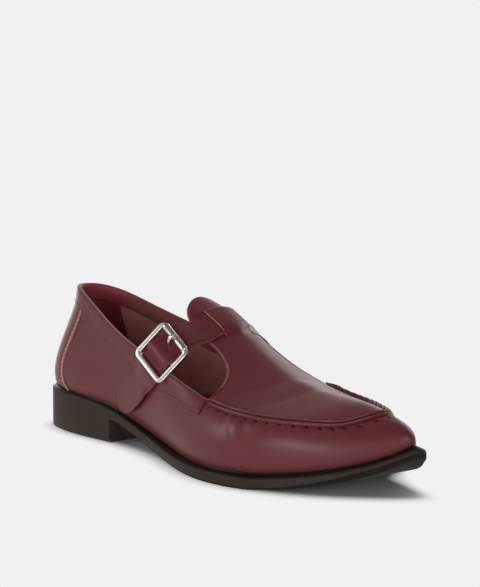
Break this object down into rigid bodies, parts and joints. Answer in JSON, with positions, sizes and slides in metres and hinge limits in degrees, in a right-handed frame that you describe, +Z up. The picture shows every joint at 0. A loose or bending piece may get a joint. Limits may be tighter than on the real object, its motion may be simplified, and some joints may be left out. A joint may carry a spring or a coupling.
{
  "type": "mary jane shoe",
  "caption": "Low-heeled T-bar mary jane shoe for the right foot, with a threaded strap and a roller buckle.",
  "frame": {"origin": "middle of the sole's outline, on the floor plane under heel and forefoot", "axes": "+X from heel to toe, +Y towards the medial (inner) side, +Z up"},
  "size_m": [0.268, 0.095, 0.0782],
  "materials": {
    "sole": "satin",
    "lining": "matte",
    "leather": "semi-matte",
    "strap_leather": "semi-matte",
    "nickel": "polished"
  },
  "bodies": {
    "root": {"sole": "sole", "insole": "lining", "upper": "leather", "strap": "strap_leather", "buckle_frame": "nickel", "buckle_roller": "nickel", "buckle_prong": "nickel"}
  },
  "joints": []
}
